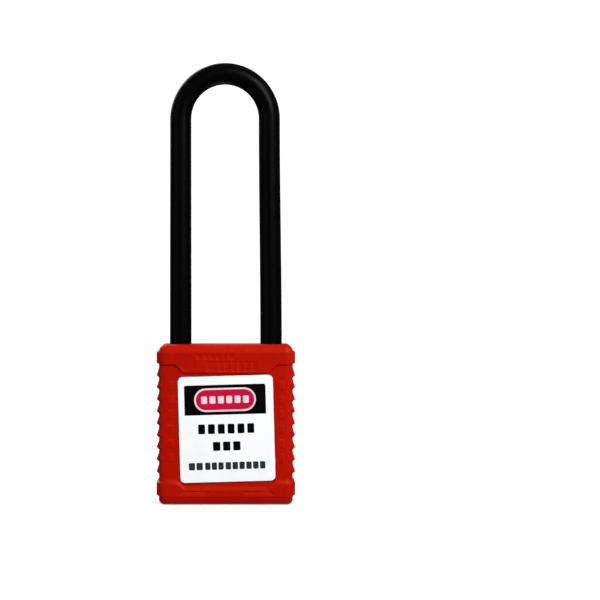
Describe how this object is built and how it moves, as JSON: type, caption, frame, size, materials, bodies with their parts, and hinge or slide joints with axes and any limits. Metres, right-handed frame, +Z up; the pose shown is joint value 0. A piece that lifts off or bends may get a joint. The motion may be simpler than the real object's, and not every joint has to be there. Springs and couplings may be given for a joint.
{
  "type": "safety padlock",
  "caption": "Long-shackle safety lockout padlock with a moulded nylon body, gripping side ribs, a label panel on each face and a pin-tumbler core in its base.",
  "frame": {"origin": "centre of the body's bottom face", "axes": "+X to the right across the two legs, -Y out of the front label, +Z up along the shackle's legs"},
  "size_m": [0.04, 0.019, 0.1278],
  "materials": {
    "body_nylon": "satin moulded nylon, red",
    "shackle_nylon": "satin moulded nylon, black",
    "label_vinyl": "printed vinyl under a clear film",
    "brass": "turned and milled",
    "nickel_plate": "nickel plated brass, lightly brushed",
    "steel": "zinc plated",
    "carrier_nylon": "moulded nylon, dark grey"
  },
  "bodies": {
    "housing": {"body_shell": "body_nylon", "bottom_cover": "body_nylon", "cover_rivet_left": "steel", "cover_rivet_right": "steel", "front_label": "label_vinyl", "back_label": "label_vinyl", "shackle_spring": "steel", "cylinder_housing": "brass", "chamber_strip": "brass", "latch_guide": "carrier_nylon", "heel_retainer": "steel", "driver_pin_1": "brass", "driver_pin_2": "brass", "driver_pin_3": "brass", "driver_pin_4": "brass", "driver_pin_5": "brass", "driver_pin_6": "brass", "pin_spring_1": "steel", "pin_spring_2": "steel", "pin_spring_3": "steel", "pin_spring_4": "steel", "pin_spring_5": "steel", "pin_spring_6": "steel"},
    "plug_core": {"plug": "nickel_plate", "plug_clip": "steel", "cam": "steel", "key_pin_1": "brass", "key_pin_2": "brass", "key_pin_3": "brass", "key_pin_4": "brass", "key_pin_5": "brass", "key_pin_6": "brass"},
    "latch": {"latch_bolt": "steel"},
    "shackle_bow": {"shackle": "shackle_nylon"}
  },
  "joints": [
    {"name": "key_turn", "type": "hinge", "parent": "housing", "child": "plug_core", "pos_m": [0, 0, 0.0006], "axis": [0, 0, 1], "range_deg": [0, 90]},
    {"name": "latch_slide", "type": "slide", "parent": "housing", "child": "latch", "axis": [1, 0, 0], "range_m": [-0.005, 0]},
    {"name": "shackle_lift", "type": "slide", "parent": "housing", "child": "shackle_bow", "axis": [0, 0, 1], "range_m": [0, 0.01], "deforming": ["shackle_spring"]}
  ],
  "couplings": [
    {"joint": "latch_slide", "follows": "key_turn", "m_per_rad": -0.00318},
    {"joint": "shackle_lift", "follows": "key_turn", "m_per_rad": 0.00636}
  ]
}
